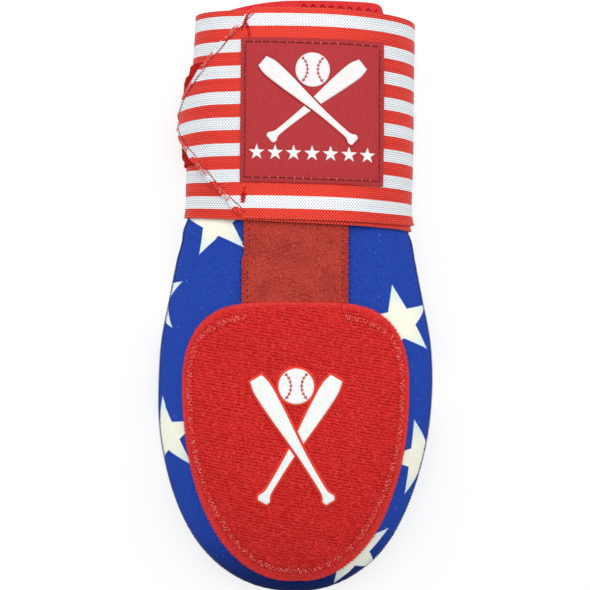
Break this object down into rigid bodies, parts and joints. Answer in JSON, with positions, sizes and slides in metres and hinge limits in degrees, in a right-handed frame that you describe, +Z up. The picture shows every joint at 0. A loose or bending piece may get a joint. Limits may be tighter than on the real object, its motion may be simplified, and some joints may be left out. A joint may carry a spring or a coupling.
{
  "type": "baseball sliding mitt",
  "caption": "Padded oval hand guard lying on its back: hollow neoprene pouch with a knit slide pad and a wide striped elastic wrist strap wound round its open cuff.",
  "frame": {"origin": "centre of the bounding box in X and Y, on the surface that the mitt rests on", "axes": "+Y from the fingertips towards the wrist, +Z up through the slide pad, +X across the hand to the right as seen from above with the wrist away from the viewer"},
  "size_m": [0.1392, 0.2938, 0.0463],
  "materials": {
    "blue_neoprene": "printed jersey over neoprene, blue with pale five-point stars, matt",
    "red_suede": "dark red brushed microfibre, matt and mottled",
    "red_knit": "red brushed rib knit, soft",
    "red_neoprene": "red jersey over neoprene, matt",
    "striped_elastic": "woven elastic with red and white stripes along its length",
    "woven_label": "dark red woven label with white crossed bats, a ball and a row of small stars",
    "hook_tape": "dark red hook tape"
  },
  "bodies": {
    "root": {"front_panel": "blue_neoprene", "back_panel": "blue_neoprene", "centre_strip": "red_suede", "slide_pad": "red_knit", "cuff": "red_neoprene", "wrap_strap": "striped_elastic", "label": "woven_label", "hook_tab": "hook_tape"}
  },
  "joints": []
}
